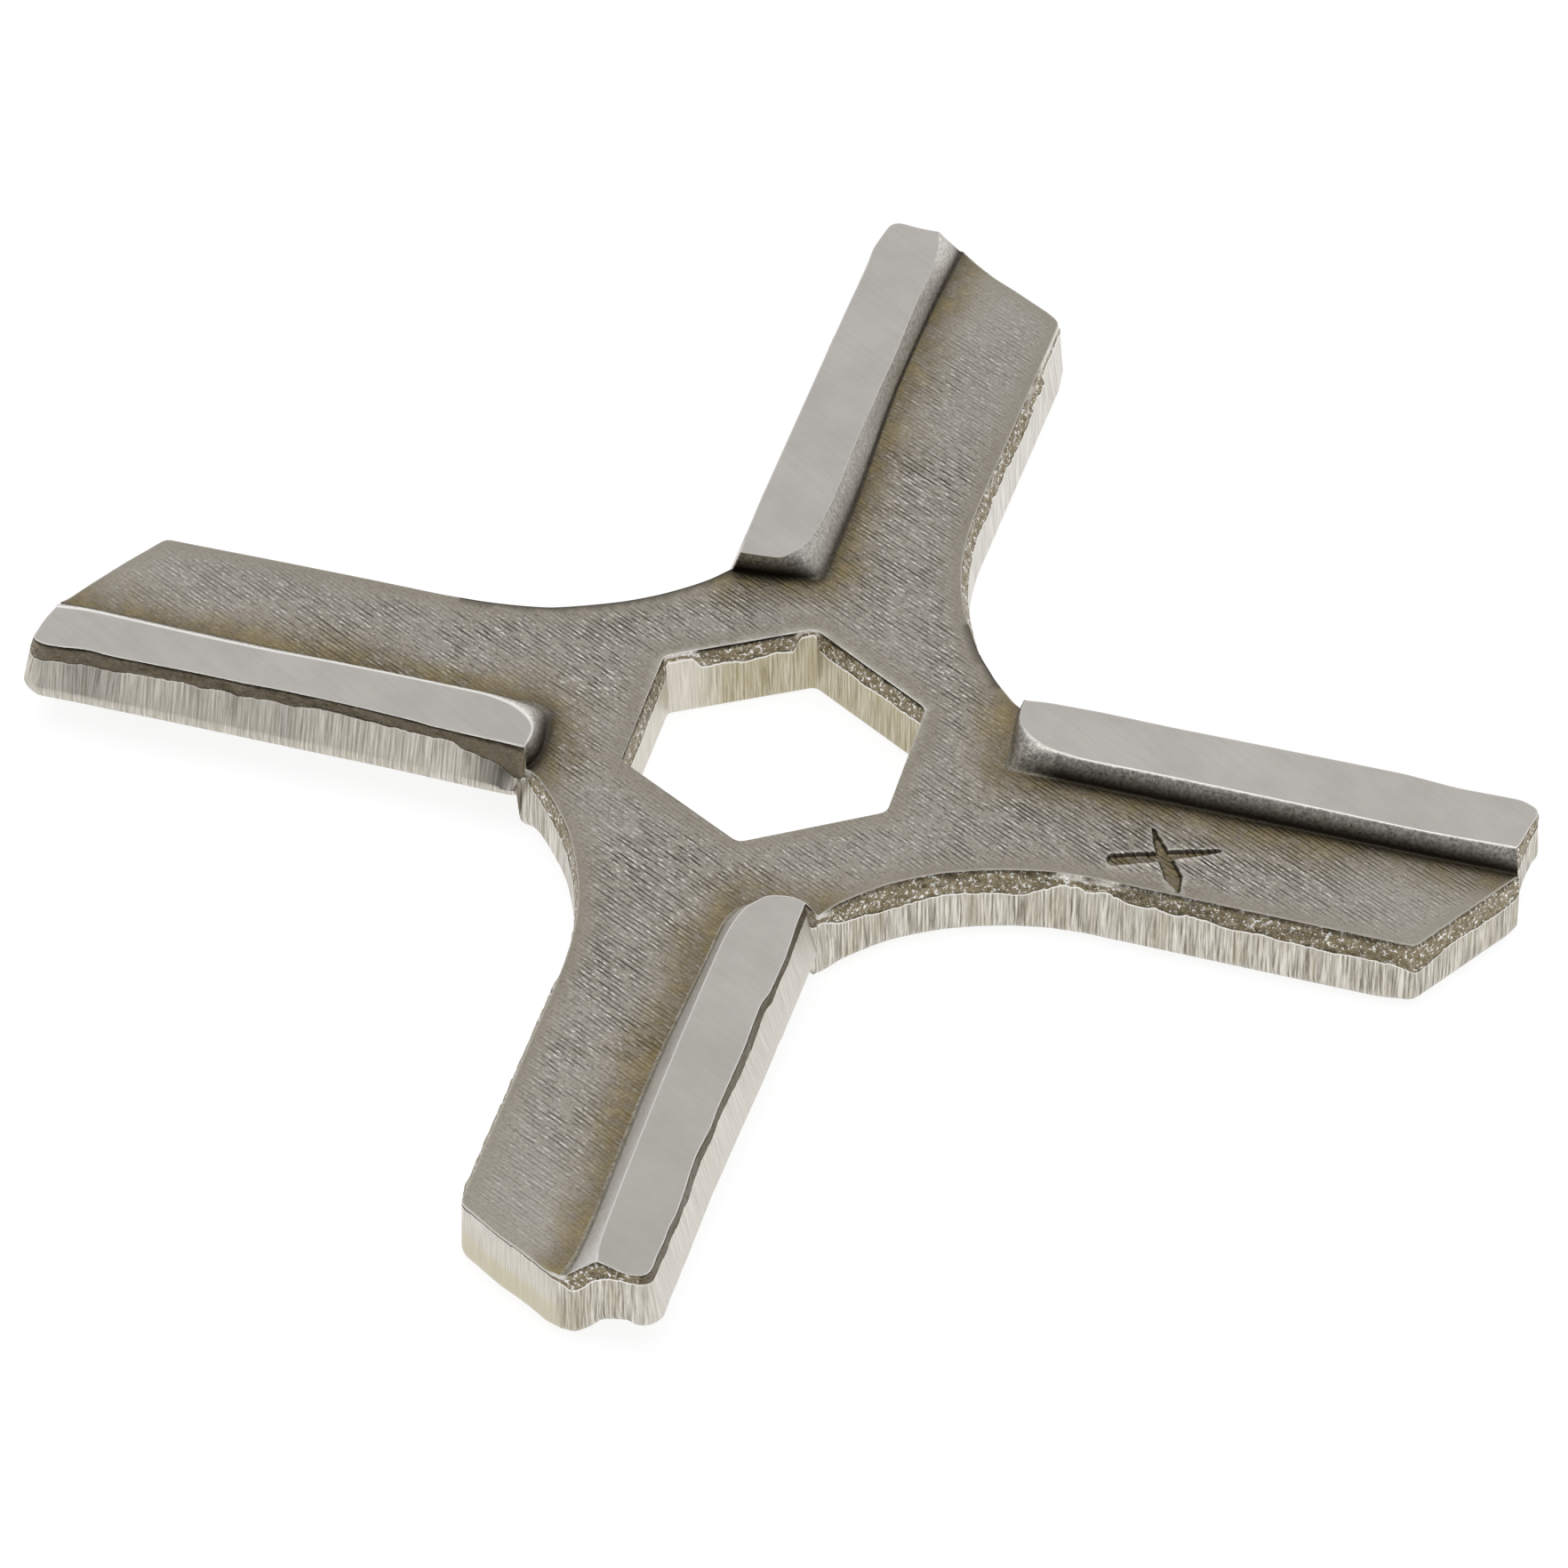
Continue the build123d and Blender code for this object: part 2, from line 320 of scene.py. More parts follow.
def within(outer, holes, at):
    """Which of the points lie inside the outer line and outside its holes."""
    keep = inside(outer, *at.T)
    for hole in holes:
        keep &= ~inside(hole, *at.T)
    return keep


def staggered_grid(low, high, step):
    """Points of a grid of even triangles over a rectangle."""
    row_step = step * 0.866
    grid = []
    for row in range(ceil((high[1] - low[1]) / row_step)):
        shift = 0.5 * step * (row % 2)
        grid += [(x + shift, low[1] + row * row_step) for x in np.arange(low[0], high[0], step)]
    return grid


def fill(rings, step, height, slot, tint=None, extra=(), clear=None):
    """Triangles between an outer ring of points and the rings of its holes."""
    ring_numbers = [i for ring in rings for i in ring]
    rim = np.array([points[i][:2] for i in ring_numbers])
    # A tiny unevenness keeps straight runs of the rings from making flat triangles.
    rim += 2e-4 * np.sin(np.arange(len(rim))[:, None] * np.array([12.9, 78.2]))
    starts = np.cumsum([len(ring) for ring in rings])[:-1]
    outer, *holes = np.split(rim, starts)
    grid = staggered_grid(rim.min(0), rim.max(0), step)
    grid = np.array([p for p in grid if clear is None or not clear(*p)] + list(extra))
    tree = KDTree(len(rim))
    for i, (x, y) in enumerate(rim):
        tree.insert((x, y, 0), i)
    tree.balance()
    inner = [(x, y) for x, y in grid[within(outer, holes, grid)]
             if tree.find((x, y, 0))[2] > RIM_CLEARANCE]
    numbers = ring_numbers + [add_point(x, y, height(x, y), **(tint(x, y) if tint else {}))
                              for x, y in inner]
    flat = [Vector(p) for p in rim] + [Vector(p) for p in inner]
    edges, start = [], 0
    for ring in rings:
        edges += [(start + i, start + (i + 1) % len(ring)) for i in range(len(ring))]
        start += len(ring)
    verts, _, tris, origin, _, _ = delaunay_2d_cdt(flat, edges, [], 0, 1e-7)
    middle = np.array([np.mean([verts[i][:2] for i in tri], axis=0) for tri in tris])
    for tri, ok in zip(tris, within(outer, holes, middle)):
        if ok and all(origin[i] for i in tri):
            add_face([numbers[origin[i][0]] for i in tri], slot)


# ---- surfaces
def under_height(x, y):
    """Height of the underside, which is sunken in a band under each rib."""
    height = 0.0
    for arm in ARMS:
        u, v = to_arm(arm["turn"], x, y)
        if u > BAND_START and BAND_DEPTH[0][0] < v < BAND_DEPTH[-1][0]:
            height = max(height, table(BAND_DEPTH, v) * ramp(u, BAND_START, BAND_START + 0.12))
    return height


def stroke_gap(u, v):
    """Distance to the nearest stroke's border, below zero inside, and whether it lies above."""
    nearest, above = 9.0, False
    for (u0, v0), r0, (u1, v1), r1 in STROKES:
        du, dv = u1 - u0, v1 - v0
        t = min(1.0, max(0.0, ((u - u0) * du + (v - v0) * dv) / (du * du + dv * dv)))
        across = v - v0 - t * dv
        gap = hypot(u - u0 - t * du, across) - (r0 + (r1 - r0) * t)
        if gap < nearest:
            nearest, above = gap, across > 0
    return nearest + 0.03 * rough(u, v, 0, 0.45), above


def stroke_height(u, v):
    """Depth of the crossed strokes, the low rims beside them and the painted shade along their
    edges, stronger on the upper side.
    """
    nearest, above = stroke_gap(u, v)
    depth = 1 - ramp(nearest, -0.07, 0.03)
    rim = exp(-((nearest - 0.06) / 0.05) ** 2)
    # Painted shade along the edges, stronger on the upper side.
    dark = exp(-((nearest + 0.02) / 0.035) ** 2) * (0.75 if above else 0.15)
    return depth, rim, dark


def near_strokes(x, y):
    """Whether a point of the plate lies where the strokes can reach it."""
    return STROKES_LOW[0] < x < STROKES_HIGH[0] and STROKES_LOW[1] < y < STROKES_HIGH[1]


def plate_height(x, y):
    """Height of the plate, a little uneven, with the strokes struck into it."""
    height = PLATE_TOP + 0.012 * rough(x, y, 0, 3.0, 3)
    if near_strokes(x, y):
        depth, rim, _ = stroke_height(x, y)
        height += 0.02 * rim - STROKE_DEPTH * depth
    return height


def plate_tint(x, y):
    """The plate's marks: stain beside a rib's foot, painted shade there, in the strokes and beside
    dark rim lines, painted highlights on the strokes' rims, wear at the rims.
    """
    _, number, near = foot_tree.find((x, y, 0))
    reach = 1.2 + 0.5 * rough(x, y, 3, 2.2)
    stain = exp(-(near / max(0.3, reach)) ** 2.4)
    # Painted shadow of the rib on the plate beside its foot.
    soot = foot_shade[number] * exp(-(near / 0.32) ** 2)
    shine = 0.0
    if near_strokes(x, y):
        depth, rim, dark = stroke_height(x, y)
        # Painted shade in the strokes and along their edges; painted highlight on their rims.
        stain, soot = max(stain, 0.95 * depth), max(soot, 0.9 * dark, 0.15 * depth)
        shine = 0.3 * rim * (1 - depth) * (1 - dark)
    _, number, edge = rim_tree.find((x, y, 0))
    # A painted shade line at a rim spreads a little onto the plate.
    soot = max(soot, marks[number][MARKS.index("soot")] * exp(-(edge / 0.08) ** 2))
    worn = exp(-(edge / (0.55 + 0.25 * rough(x, y, 5, 2.0))) ** 2)
    return dict(stain=stain, shine=shine, soot=soot, worn=worn)


# ---- the ribs' back slopes
# Profile of the slope from the plate up: part of the way across, part of the way up.
SLOPE_ACROSS = (-0.14, -0.03, 0.06, 0.14, 0.26, 0.44, 0.64, 0.82, 0.93, 1)
SLOPE_UP = (0, 0.012, 0.05, 0.14, 0.3, 0.54, 0.77, 0.925, 0.982, 1)
# Painted highlight along the rib's back edge, by the same rows.
SLOPE_EDGE_HIGHLIGHT = (0, 0, 0, 0, 0, 0, 0, 0.2, 1, 1)
foot_shade = {}             # the shade at each point of the ribs' feet


def smooth_pairs(pairs, step):
    """Points along the rib's edge and foot together, on smooth curves through the pairs."""
    p = np.array(pairs, float)
    p = np.concatenate([2 * p[:1] - p[1:2], p, 2 * p[-1:] - p[-2:-1]])
    out = []
    for i in range(1, len(p) - 2):
        count = max(2, ceil(hypot(*(p[i + 1] - p[i])[:2]) / step))
        for t in np.arange(count) / count:
            a, b, c, d = p[i - 1:i + 3]
            out.append(0.5 * (2 * b + (c - a) * t + (2 * a - 5 * b + 4 * c - d) * t ** 2
                              + (3 * b - a - 3 * c + d) * t ** 3))
    return np.array(out + [p[-2]])


def build_slope(arm):
    """The slope behind a rib, as columns of point numbers from the plate up."""
    columns = []
    pairs = soften(smooth_pairs(arm["ridge"], SLOPE_STEP), 1, 1)
    for place, (top_u, top_v, foot_u, foot_v) in enumerate(pairs):
        column = []
        shade = table(arm["shade"], place / (len(pairs) - 1))
        # The third value of each row is the painted highlight along the back edge.
        for across, up, worn in zip(SLOPE_ACROSS, SLOPE_UP, SLOPE_EDGE_HIGHLIGHT):
            up += arm["straight"] * (max(0, across) - up)
            u = foot_u + across * (top_u - foot_u)
            v = foot_v + across * (top_v - foot_v)
            x, y = on_arm(arm, u, v)
            dent = 0.012 * rough(x, y, up, 0.8) * up * (1 - up) * 4
            z = PLATE_TOP + RIB_RAISE * up + dent
            # Painted shade low on the slope and in the crease at its foot.
            dark = shade * min(1, max(0, 1.3 - up / (0.06 + 0.6 * shade)))
            dark = max(dark, arm["foot_dirt"] * (1 - ramp(up, 0.03, 0.17)))
            # Painted highlight on the back edge and over the slope, less where it is shaded.
            column.append(add_point(x, y, z, stain=0.8 * (1 - up) ** 1.6, soot=dark,
                                    shine=max(worn * arm["edge_shine"],
                                              arm["slope_shine"] * (1 - shade)
                                              * ramp(up, 0.02, 0.3))))
        foot_shade[column[1]] = shade
        columns.append(column)
    for left, right in zip(columns, columns[1:]):
        for i in range(len(left) - 1):
            add_face((left[i], left[i + 1], right[i + 1], right[i]), SLOPE)
    return columns


def tree_of(numbers):
    """A search tree over points by their numbers, seen from above."""
    tree = KDTree(len(numbers))
    for number in numbers:
        x, y, _ = points[number]
        tree.insert((x, y, 0), number)
    tree.balance()
    return tree


slopes = [build_slope(arm) for arm in ARMS]
foot_tree = tree_of([column[1] for slope in slopes for column in slope])


# ---- the wall's values below each section of the outline
# Each section's function is given the arm, u, v and the height of the wall's top.
def wall_values(foot, leaning, height, roll=ROLL, calm=0.0, bare=0.0, polish=0.0):
    """The wall's values at one place; leaning is the part of the foot's reach."""
    return dict(foot=foot, lean=leaning * foot, roll=roll, height=height, calm=calm,
                bare=bare, stain=0.9 * bare, polish=polish)


def wing_wall(arm, u, v, z):
    """Below the plate's edge: hollow, trailing edge and the wing's outer end."""
    foot = arm["hollow_foot"] if u < HOLLOW_END else TRAILING_FOOT
    if u > END_START:
        foot = arm["end_foot"]
    elif u > END_START - 0.4:
        foot = 0.23
    bare = arm["bare_end"] * (u > END_START)
    return wall_values(foot, 0.88, table(arm["break_line"], u), calm=0.9 * bare, bare=bare,
                       polish=arm["wing_polish"] + 0.25 * bare)


def outer_end_wall(arm, u, v, z):
    """Below the rib's outer end."""
    foot = max(arm["tip_foot"], arm["low_end"] - u)
    return wall_values(foot, 0.7, table(arm["tip_break"], v))


def inner_end_wall(arm, u, v, z):
    """Below the rib's inner end, which steps down to the plate."""
    return wall_values(arm["step_foot"], 0.6, min(2.3, z - 0.35), BAND_ROLL, calm=0.5)


def cutting_wall(arm, u, v, z):
    """The cutting face."""
    foot = (table(arm["low_edge"], u) - v) * table(arm["corner"], u)
    return wall_values(foot, 0.22, table(arm["face_break"], u), BAND_ROLL, calm=0.85,
                       polish=arm["face_polish"])


# ---- the outline
upper = []                  # point numbers of the wall's top row
sections = []               # for each of them the function of its wall, and its arm


def add_upper(number, wall, arm):
    """Adds a point to the wall's top row."""
    upper.append(number)
    sections.append((wall, arm))


def trace(arm, start, steps, stop):
    """Points on an arm's line between the two points that it joins, without these."""
    line = [points[start][:2]] + [on_arm(arm, *step) for step in steps] + [points[stop][:2]]
    return soften(even_steps(line, COLUMN_STEP), 1)[1:-1]


def trace_wing(arm, slope, before):
    """The plate's edge from the rib before to this rib: hollow, trailing edge, outer end."""
    first = before[0][0]
    rim = [first]
    for x, y in trace(arm, first, arm["hollow"] + arm["end"], slope[-1][0]):
        u, _ = to_arm(arm["turn"], x, y)
        # Along part of the hollow's edge a painted shade line, elsewhere a painted highlight line.
        dark = 0.9 * (arm["dark_edge"][0] < u < arm["dark_edge"][1])
        rim.append(add_point(x, y, PLATE_TOP, shine=0 if dark else 0.35, soot=dark, worn=1))
        add_upper(rim[-1], wing_wall, arm)
    return rim + [column[0] for column in reversed(slope)][:-1]


def trace_rib(arm, slope):
    """The rib's upper edge from its outer end along the cutting edge to its inner end."""
    for number in slope[-1]:
        add_upper(number, outer_end_wall, arm)
    rim = []
    for x, y in trace(arm, slope[-1][-1], arm["tip"] + arm["edge"], slope[0][-1]):
        u, v = to_arm(arm["turn"], x, y)
        # A painted highlight along the cutting edge.
        rim.append(add_point(x, y, RIB_TOP, shine=0.7))
        at_end = v < TIP_SIDE and u > TIP_START
        add_upper(rim[-1], outer_end_wall if at_end else cutting_wall, arm)
    for number in reversed(slope[0]):
        add_upper(number, inner_end_wall, arm)
    return [column[-1] for column in slope] + rim


plate_rim, rib_rims = [], []
for index, arm in enumerate(ARMS):
    plate_rim += trace_wing(arm, slopes[index], slopes[index - 1])
    rib_rims.append(trace_rib(arm, slopes[index]))

# ---- the punched wall
# Rows of the torn zone: part of the way down to its border, and the burr's own in-and-out.
TORN_ROWS = ((0.04, 0.004), (0.08, -0.04), (0.14, -0.03), (0.21, 0),
             *((tenth / 10, 0) for tenth in range(3, 10)), (0.965, 0), (1, 0))
BURNISH_ROWS = (0.02, 0.055, 0.14, 0.3, 0.5, 0.7, 0.86, 1)
ROLL_ROWS = (12, 27, 42, 56, 70, 81, 90)
LEAST_TORN, LEAST_BURNISHED = 0.1, 0.25     # heights that both zones keep everywhere
THIN_TORN = (0.4, 0.6)                      # heights between which a torn zone is thin

# How far along the outline each of the wall's values is blended.
#   foot, lean     how far the wall's foot and the torn zone's border stand out
#   roll, height   rounding of the lower edge, height of the torn zone's border
#   stain          stain low on the burnished zone
#   calm           0 for a ragged torn zone, 1 for an even one
#   bare           1 where the torn zone is reduced to a thin line
#   polish         brightness of the burnished zone
BLEND = dict(foot=0.35, lean=0.35, roll=0.4, height=0.12, stain=0.3, calm=0.3, bare=0.4,
             polish=0.3)


def on_ring(ring, distance):
    """Points of a closed outline at a distance along it."""
    length = run_length(ring)
    return np.stack([np.interp(distance % length[-1], length, c) for c in ring.T], axis=-1)


def outline_shape():
    """The wall's values round the whole outline, and the direction in which it faces."""
    top = np.array([points[i] for i in upper])
    ring = np.concatenate([top, top[:1]])
    length = run_length(ring)[:-1]
    own = [wall(arm, *to_arm(arm["turn"], x, y), z)
           for (wall, arm), (x, y, z) in zip(sections, top)]
    shape = {}
    for name, reach in BLEND.items():
        values = np.array([column[name] for column in own], float)
        closed = np.concatenate([ring[:, :2], np.append(values, values[0])[:, None]], axis=1)
        near = length[:, None] + np.linspace(-reach, reach, 9)[None, :]
        shape[name] = on_ring(closed, near)[..., 2].mean(axis=1)
    shape["height"] += shape["bare"] * (BARE_HEIGHT - shape["height"])
    along = (on_ring(ring, length + 0.25) - on_ring(ring, length - 0.25))[:, :2]
    outward = np.stack([along[:, 1], -along[:, 0]], axis=1)
    return shape, outward / np.hypot(*outward.T)[:, None]


def wall_column(x, y, top, out, run, shape, look):
    """One column of the wall, with the torn zone's border made uneven."""
    column = SimpleNamespace(x=x, y=y, top=top, out=out, run=run, **shape, **look)
    reach = column.foot - column.roll
    column.floor = under_height(x + out[0] * reach, y + out[1] * reach)
    height = column.height + 0.1 * rough(x, y, 7, 0.9, 5) + 0.05 * rough(x, y, 9, 0.25)
    height = max(height, column.floor + column.roll + LEAST_BURNISHED)
    column.height = min(height, top - LEAST_TORN)
    column.thin = (top < RIB_TOP) * (1 - ramp(top - column.height, *THIN_TORN))
    column.lean *= 1 - 0.75 * column.thin
    return column


def wall_point(column, out, z, **tint):
    x, y = column.x + column.out[0] * out, column.y + column.out[1] * out
    return add_point(x, y, z, worn=column.calm, run=column.run, **tint)


def torn_point(column, part, lip):
    """A point of the torn zone, which starts with a burr, painted bright as a highlight, and a
    painted shade line below it.
    """
    x, y, thin = column.x, column.y, column.thin
    z = column.top + (column.height - column.top) * part
    jag = 0.055 * rough(x, y, z, 0.42, 5) + 0.02 * rough(x, y, z, 0.12, 2)
    jag *= min(1, part / 0.25) * min(1, (1.02 - part) / 0.12) * (1 - 0.6 * column.calm)
    jag *= column.spread * (1 - 0.7 * thin)
    # Painted highlight on the burr and over a thin torn zone; painted shade below the burr and near
    # the zone's lower border.
    line = max(column.burr, column.calm)
    shine = max(line * (part < 0.05), 0.6 * thin * (part < 0.6))
    soot = max(line * (0.05 < part < 0.2), 0.5 * ramp(part, 0.9, 0.95) * (part < 1))
    return wall_point(column, column.lean * part ** 1.15 + lip * (1 - thin) + jag, z,
                      shine=shine, soot=soot * (1 - thin))


def burnished_point(column, part):
    """A point of the burnished zone, with a painted highlight along its upper border."""
    x, y = column.x, column.y
    z = column.height + (column.floor + column.roll - column.height) * part
    out = column.lean + (column.foot - column.lean) * part
    out += 0.004 * (1 - 0.85 * column.calm) * rough(x, y, z * 0.2, 0.3, 3)
    low = 1 - ramp(z, 1.3 + 0.3 * rough(x, y, 1, 0.8), 1.7)
    return wall_point(column, out, z, stain=max(column.dirt, column.stain * low),
                      shine=1 - 0.8 * column.calm if part < 0.04 else column.polish)


def rolled_point(column, angle):
    """A point of the rounded lower edge."""
    out = column.foot - column.roll * (1 - cos(radians(angle)))
    z = column.floor + column.roll * (1 - sin(radians(angle)))
    return wall_point(column, out, z, stain=max(column.dirt, column.stain),
                      shine=column.polish)


def add_wall(numbers, outward, shape, dirt=0.0, spread=1.0, burr=0.4):
    """The wall below a closed top line: torn zone, burnished zone and rounded lower edge."""
    tops = np.array([points[i] for i in numbers])
    # burr sets how strong the painted highlight on the burr and the painted shade line below it
    # are.
    look = dict(dirt=dirt, spread=spread, burr=burr)
    columns = [wall_column(*top, out, run, {name: shape[name][i] for name in BLEND}, look)
               for i, (top, out, run) in enumerate(zip(tops, outward, run_length(tops)))]
    rows = [list(numbers)]
    rows += [[torn_point(column, *row) for column in columns] for row in TORN_ROWS]
    rows += [[burnished_point(column, part) for column in columns] for part in BURNISH_ROWS]
    rows += [[rolled_point(column, angle) for column in columns] for angle in ROLL_ROWS]
    slots = [TORN] * len(TORN_ROWS) + [BURNISH] * (len(BURNISH_ROWS) + len(ROLL_ROWS))
    for above, below, slot in zip(rows, rows[1:], slots):
        for i in range(len(numbers)):
            j = (i + 1) % len(numbers)
            add_face((above[i], below[i], below[j], above[j]), slot)
    return rows[-1]


shape, outward = outline_shape()
lower_rim = add_wall(upper, outward, shape)


# ---- the drive hole
def hexagon():
    """The hexagon's line with its corners rounded, and the direction into the steel."""
    line = even_steps(HEX_CORNERS + HEX_CORNERS[:1], HEX_STEP)[:-1]
    line = np.stack([np.convolve(np.concatenate([c[-2:], c, c[:2]]), np.ones(5) / 5, "valid")
                     for c in line.T], axis=1)
    along = np.roll(line, -2, axis=0) - np.roll(line, 2, axis=0)
    outward = np.stack([-along[:, 1], along[:, 0]], axis=1)
    return line, outward / np.hypot(*outward.T)[:, None]


def hexagon_shape(line):
    """The same values as on the outer wall, most of them alike all the way round."""
    count = len(line)
    fixed = dict(foot=0.14, lean=0.12, roll=HEX_ROLL, stain=0, calm=0, bare=0)
    shape = {name: np.full(count, value, float) for name, value in fixed.items()}
    shape["height"] = np.array([table(HEX_BREAK, i / count) for i in range(count)])
    shape["polish"] = np.array([0.4 * ramp(-x, 2.5, 4) for x, _ in line])
    return shape


hex_line, hex_outward = hexagon()
# The hole's rim gets a painted highlight, strongest towards +Y.
hex_rim = [add_point(x, y, PLATE_TOP, worn=0.6,
                     shine=ramp(y, -1, 3) * (0.8 + 0.4 * rough(x, y, 0, 0.4)))
           for x, y in hex_line]
hex_lower = add_wall(hex_rim, hex_outward, hexagon_shape(hex_line), dirt=0.55, spread=0.8,
                     burr=1.0)


# ---- the flat faces
def inner_ring(loop, slot, hole=False):
    """A second line beside a closed line, so that an edge's wear, painted highlight or painted
    shade stays a thin line.
    """
    at = np.array([points[i][:2] for i in loop])
    along_x, along_y = (np.roll(at, -1, axis=0) - np.roll(at, 1, axis=0)).T
    side = np.stack([-along_y, along_x], axis=1)
    x, y = at.T
    clockwise = np.sum(x * np.roll(y, -1) - np.roll(x, -1) * y) < 0
    if clockwise != hole:
        side = -side
    at = at + side * (EDGE_LINE / np.hypot(along_x, along_y))[:, None]
    second = []
    for (x, y), number in zip(at, loop):
        tint = {}
        if hole:
            tint = dict(shine=0.25 * marks[number][MARKS.index("shine")], worn=0.6)
        elif slot == PLATE:
            tint = plate_tint(x, y)
        second.append(add_point(x, y, points[number][2], **tint))
    for i in range(len(loop)):
        j = (i + 1) % len(loop)
        add_face((loop[i], loop[j], second[j], second[i]), slot)
    return second


def stroke_borders():
    """A fine grid of points beside the struck strokes' borders."""
    (low_x, low_y), (high_x, high_y) = STROKES_LOW, STROKES_HIGH
    return [(x, y) for x in np.arange(low_x, high_x, STROKE_STEP)
            for y in np.arange(low_y, high_y, STROKE_STEP)
            if -0.13 < stroke_gap(x, y)[0] < 0.09]


def near_crease(x, y):
    """Whether a point lies so near a crease that it would make the crease ragged."""
    for arm in ARMS:
        u, v = to_arm(arm["turn"], x, y)
        if u > 7.1 and min(abs(v - line) for line in BAND_CREASES) < CREASE_CLEARANCE:
            return True
        if v > 0.8 and min(abs(u - line) for line in BAND_ENDS) < CREASE_CLEARANCE:
            return True
    return False


def crease_points():
    """Points along the creases of the sunken bands, which keep them sharp."""
    creases = []
    for arm in ARMS:
        for v in BAND_CREASES:
            creases += [on_arm(arm, u, v) for u in np.arange(7.5, 24.6, CREASE_STEP)]
        for u in BAND_ENDS:
            creases += [on_arm(arm, u, v) for v in np.arange(1.15, 3.6, CREASE_STEP)]
    return creases


rim_tree = tree_of(upper + hex_rim)
fill([inner_ring(plate_rim, PLATE), inner_ring(hex_rim, PLATE, hole=True)], PLATE_STEP,
     plate_height, PLATE, plate_tint, stroke_borders())
for rim in rib_rims:
    fill([inner_ring(rim, RIB)], RIB_STEP, lambda x, y: RIB_TOP, RIB)
fill([lower_rim, hex_lower], UNDER_STEP, under_height, UNDER, None, crease_points(),
     near_crease)


# ---- the mesh itself
def make_knife():
    """The knife as one closed mesh; a slit of a few edges, if left open, is closed."""
    mesh = bpy.data.meshes.new("knife_steel")
    mesh.from_pydata([(x * MM, y * MM, z * MM) for x, y, z in points], [], faces)
    for name, values in zip(MARKS, zip(*marks)):
        attribute = mesh.attributes.new(name, "FLOAT", "POINT")
        attribute.data.foreach_set("value", values)
    mesh.polygons.foreach_set("material_index", face_slots)
    solid = bmesh.new()
    solid.from_mesh(mesh)
    bmesh.ops.holes_fill(solid, edges=[e for e in solid.edges if e.is_boundary], sides=8)
    bmesh.ops.recalc_face_normals(solid, faces=solid.faces)
    for face in solid.faces:
        face.smooth = True
    solid.to_mesh(mesh)
    solid.free()
    mesh.set_sharp_from_angle(angle=radians(SHARP_ANGLE))
    mesh.update()
    knife = bpy.data.objects.new("knife_steel", mesh)
    bpy.context.scene.collection.objects.link(knife)
    return knife


# ---- materials
# The last of these colours is painted shade; the first is painted highlight, and polish on the
# burnished zone.
BRIGHT, GROOVED, SHADE_BLACK = "f5f3ef", "938e87", "1a150f"      # colours used more than once
GROOVE_SPACING = 0.16
GROOVE_WANDER = 9.0         # how far the grooves' line wanders, in radians
GROOVE_ANGLE = 27.0         # turns the grinding grooves onto the Y axis of the pattern


class Nodes:
    """Short calls for the nodes of one tree."""

    def __init__(self, tree):
        self.tree = tree

    def node(self, kind, inputs=(), **settings):
        made = self.tree.nodes.new(kind)
        for key, value in settings.items():
            setattr(made, key, value)
        for key, value in dict(inputs).items():
            self.put(made.inputs[key], value)
        return made

    def put(self, socket, value):
        if isinstance(value, bpy.types.NodeSocket):
            self.tree.links.new(value, socket)
        else:
            socket.default_value = value

    def vector(self, operation, a, b=None, scale=None):
        made = self.node("ShaderNodeVectorMath", {0: a}, operation=operation)
        if b is not None:
            self.put(made.inputs[1], b)
        if scale is not None:
            self.put(made.inputs["Scale"], scale)
        return made.outputs["Value" if operation == "LENGTH" else 0]

    def axis(self, where, name):
        return self.node("ShaderNodeSeparateXYZ", {0: where}).outputs[name]

    def math(self, operation, a, b=0.0, c=0.0):
        return self.node("ShaderNodeMath", {0: a, 1: b, 2: c}, operation=operation).outputs[0]

    def times(self, *factors):
        product = factors[0]
        for factor in factors[1:]:
            product = self.math("MULTIPLY", product, factor)
        return product

    def noise(self, where, scale, detail=3.0, roughness=0.6):
        inputs = {"Vector": where, "Scale": scale, "Detail": detail, "Roughness": roughness}
        return self.node("ShaderNodeTexNoise", inputs).outputs[0]

    def streaks(self, where, stretch, detail=3.0, roughness=0.6):
        """Noise whose features are as many to the millimetre along each axis."""
        return self.noise(self.vector("MULTIPLY", where, stretch), 1.0, detail, roughness)

    def spread(self, value, low=0.35, high=0.65, to_low=0.0, to_high=1.0):
        inputs = {"Value": value, "From Min": low, "From Max": high, "To Min": to_low,
                  "To Max": to_high}
        return self.node("ShaderNodeMapRange", inputs).outputs[0]

    def layers(self, base, *layers):
        """A first colour with others laid over it, each by the product of its factors."""
        for color, *factors in layers:
            inputs = {"Factor": self.times(*factors), "A": paint(base), "B": paint(color)}
            base = self.node("ShaderNodeMix", inputs, data_type="RGBA").outputs["Result"]
        return base

    def mark(self, name):
        return self.node("ShaderNodeAttribute", attribute_name=name).outputs["Fac"]

    def bump(self, height, distance, strength, under=None):
        made = self.node("ShaderNodeBump", {"Height": height, "Strength": strength,
                                            "Distance": distance * MM})
        if under is not None:
            self.put(made.inputs["Normal"], under)
        return made.outputs[0]



